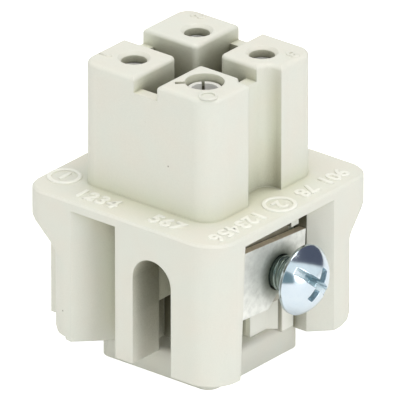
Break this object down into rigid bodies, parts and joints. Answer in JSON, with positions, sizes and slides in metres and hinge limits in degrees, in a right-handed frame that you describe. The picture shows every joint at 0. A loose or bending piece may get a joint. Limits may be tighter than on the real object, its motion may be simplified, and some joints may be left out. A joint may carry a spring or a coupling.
{
  "type": "heavy duty connector insert",
  "caption": "Square female contact insert for a small rectangular connector: towers with pin holes, flange, legs and an earth screw at the side.",
  "frame": {"origin": "on the underside of the square base, below the middle of the contact tower", "axes": "+Z along the contacts towards the mating side, +X through the earth screw"},
  "size_m": [0.027, 0.024, 0.0303],
  "materials": {
    "housing": "pebble grey moulded plastic, satin",
    "contact_silver": "silver-plated brass",
    "spring_steel": "plain spring steel",
    "zinc_plate": "bright zinc plate with a blue tint",
    "plate_steel": "matt galvanised sheet, scuffed",
    "strap_steel": "plated sheet steel"
  },
  "bodies": {
    "root": {"insulating_body": "housing", "terminal_base": "housing", "socket_contact_1": "contact_silver", "socket_sleeve_1": "spring_steel", "clamp_screw_1": "zinc_plate", "wire_guard_1": "spring_steel", "socket_contact_2": "contact_silver", "socket_sleeve_2": "spring_steel", "clamp_screw_2": "zinc_plate", "wire_guard_2": "spring_steel", "socket_contact_3": "contact_silver", "socket_sleeve_3": "spring_steel", "clamp_screw_3": "zinc_plate", "wire_guard_3": "spring_steel", "earth_socket": "contact_silver", "earth_sleeve": "spring_steel", "earth_strap": "strap_steel", "earth_plate": "plate_steel", "earth_screw": "zinc_plate", "earth_leaf": "contact_silver"}
  },
  "joints": []
}
